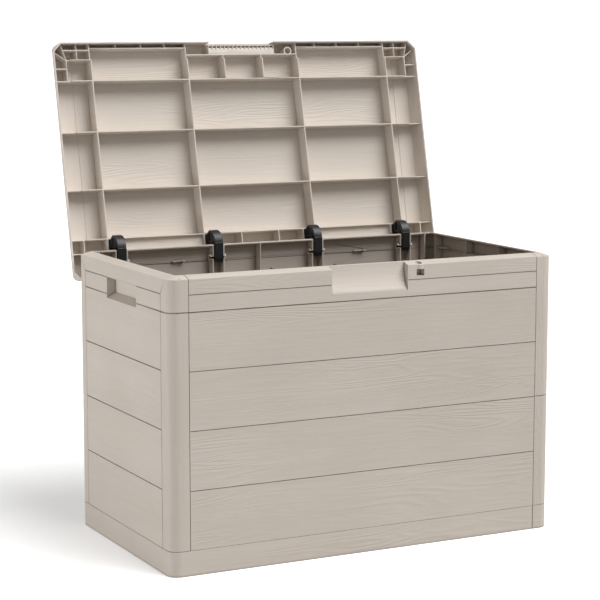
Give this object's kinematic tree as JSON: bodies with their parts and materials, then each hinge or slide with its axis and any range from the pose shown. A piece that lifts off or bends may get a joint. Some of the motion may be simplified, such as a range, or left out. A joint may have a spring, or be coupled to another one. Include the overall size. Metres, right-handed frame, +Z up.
{
  "type": "deck storage box",
  "caption": "Moulded resin deck storage box with plank-look panel walls and a ribbed lid that swings open on goose-neck hinge arms.",
  "frame": {"origin": "centre of the underside of the base tray, on the surface the box stands on", "axes": "+X to the right along the front, +Y from the front to the back, +Z up"},
  "size_m": [0.78, 0.554, 0.8959],
  "materials": {
    "resin": "warm grey, wood-grain texture",
    "black_resin": "black, satin",
    "steel": "zinc plated"
  },
  "bodies": {
    "box": {"base_tray": "resin", "front_panel": "resin", "back_panel": "resin", "left_side_panel": "resin", "right_side_panel": "resin"},
    "lid": {"lid_shell": "resin", "hinge_arm_1": "black_resin", "hinge_arm_2": "black_resin", "hinge_arm_3": "black_resin", "hinge_arm_4": "black_resin", "hinge_pin_1": "black_resin", "hinge_pin_2": "black_resin", "hinge_pin_3": "black_resin", "hinge_pin_4": "black_resin", "hinge_screws": "steel"}
  },
  "joints": [
    {"name": "lid_hinge", "type": "hinge", "parent": "box", "child": "lid", "pos_m": [0, 0.198, 0.4895], "axis": [1, 0, 0], "range_deg": [0, 102.5]}
  ]
}
